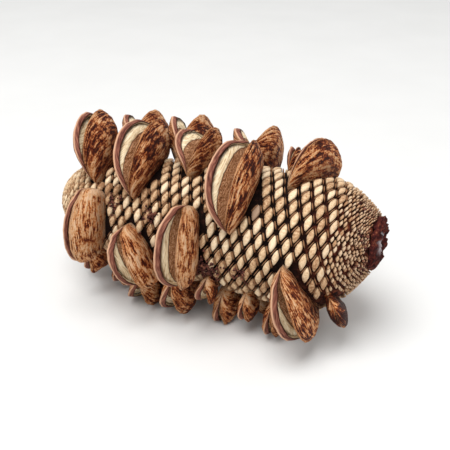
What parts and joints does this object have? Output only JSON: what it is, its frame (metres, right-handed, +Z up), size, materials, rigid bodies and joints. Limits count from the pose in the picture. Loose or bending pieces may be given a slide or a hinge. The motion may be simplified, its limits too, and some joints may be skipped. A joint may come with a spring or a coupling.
{
  "type": "banksia cone",
  "caption": "Dried woody banksia seed cone lying on its side: a spike netted with rhombic scales, open two-valved seed follicles standing out of it and a broken stalk end.",
  "frame": {"origin": "on the surface that the cone lies on, under the middle of its box", "axes": "+X along the spike from its round tip to its stalk end, +Y away from the side that the picture shows, +Z up"},
  "size_m": [0.1148, 0.0678, 0.0631],
  "materials": {
    "scale_net": "matt, pale raised scales over near-black furrows",
    "pod_wood": "dry mottled red-brown outside, purple-brown rim and cream inside",
    "stalk_wood": "rough dark maroon break"
  },
  "bodies": {
    "root": {"spike": "scale_net", "stalk_stub": "stalk_wood", "follicle_01": "pod_wood", "follicle_02": "pod_wood", "follicle_03": "pod_wood", "follicle_04": "pod_wood", "follicle_05": "pod_wood", "follicle_06": "pod_wood", "follicle_07": "pod_wood", "follicle_08": "pod_wood", "follicle_09": "pod_wood", "follicle_10": "pod_wood", "follicle_11": "pod_wood", "follicle_12": "pod_wood", "follicle_13": "pod_wood", "follicle_14": "pod_wood", "follicle_15": "pod_wood", "follicle_16": "pod_wood", "follicle_17": "pod_wood", "follicle_18": "pod_wood", "follicle_19": "pod_wood", "follicle_20": "pod_wood", "follicle_21": "pod_wood", "follicle_22": "pod_wood", "follicle_23": "pod_wood", "follicle_24": "pod_wood", "follicle_25": "pod_wood", "follicle_26": "pod_wood", "follicle_27": "pod_wood", "follicle_28": "pod_wood", "follicle_29": "pod_wood", "follicle_30": "pod_wood", "follicle_31": "pod_wood", "follicle_32": "pod_wood", "follicle_33": "pod_wood", "follicle_34": "pod_wood", "follicle_35": "pod_wood"}
  },
  "joints": []
}
